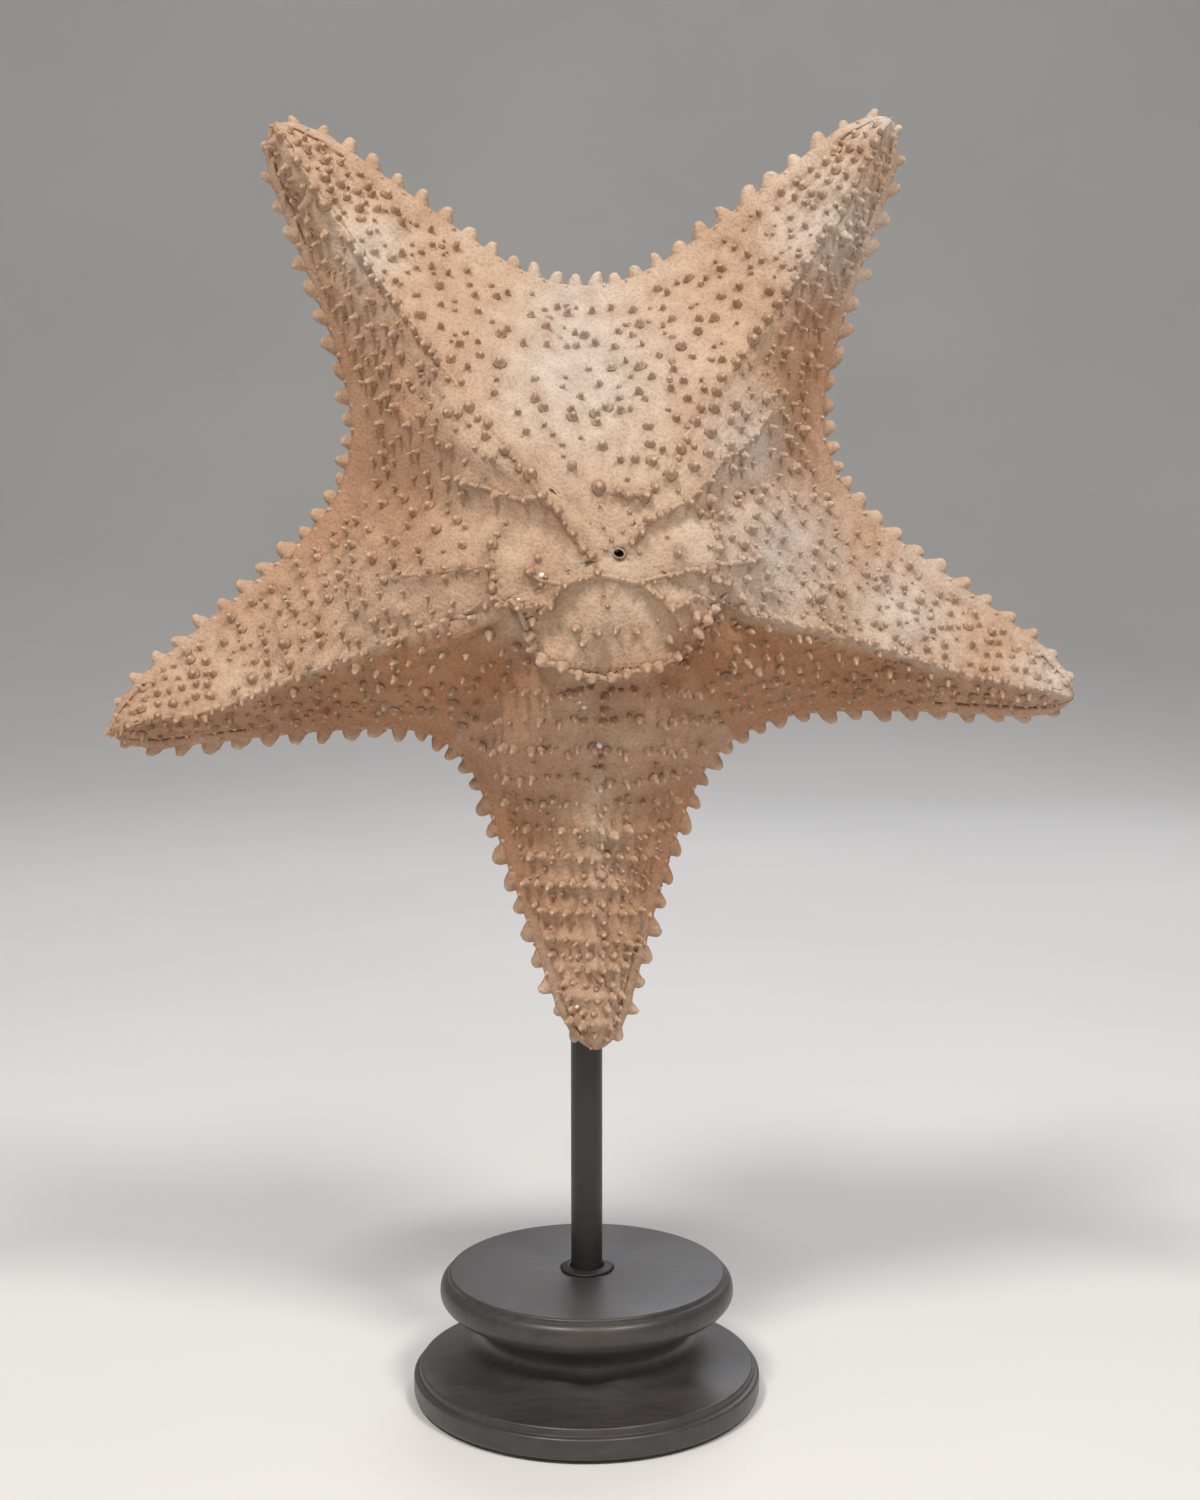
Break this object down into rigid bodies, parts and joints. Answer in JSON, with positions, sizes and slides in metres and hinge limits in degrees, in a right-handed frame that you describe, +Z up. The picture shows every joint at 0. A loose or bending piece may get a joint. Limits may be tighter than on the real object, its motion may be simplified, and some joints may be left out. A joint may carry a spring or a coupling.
{
  "type": "dried cushion sea star on a turned display stand",
  "caption": "Dried cushion sea star, tuberculate and spiny-edged, held upright on a black rod in an ebonised turned foot.",
  "frame": {"origin": "on the rod's axis, in the plane of the felt's underside, which is the surface the stand rests on", "axes": "+Z up along the rod; the star's upper side faces -Y and its furrowed underside faces the rod and +Y; +X to the right as seen from the front"},
  "size_m": [0.297, 0.114, 0.4007],
  "materials": {
    "star_skin": "dry, matt and granular, like sun-dried hide over chalky plates",
    "resin": "hard dark casting resin, slightly lumpy",
    "rod_paint": "brushed black paint, satin",
    "filler": "black filler wiped flush and painted",
    "ebonised_wood": "ebonised and waxed, satin",
    "zinc_steel": "zinc plated",
    "felt": "dense green baize"
  },
  "bodies": {
    "root": {"starfish": "star_skin", "resin_bed": "resin", "stand_rod": "rod_paint", "rod_collar": "filler", "turned_base": "ebonised_wood", "rod_washer": "zinc_steel", "rod_nut": "zinc_steel", "felt_pad": "felt"}
  },
  "joints": []
}
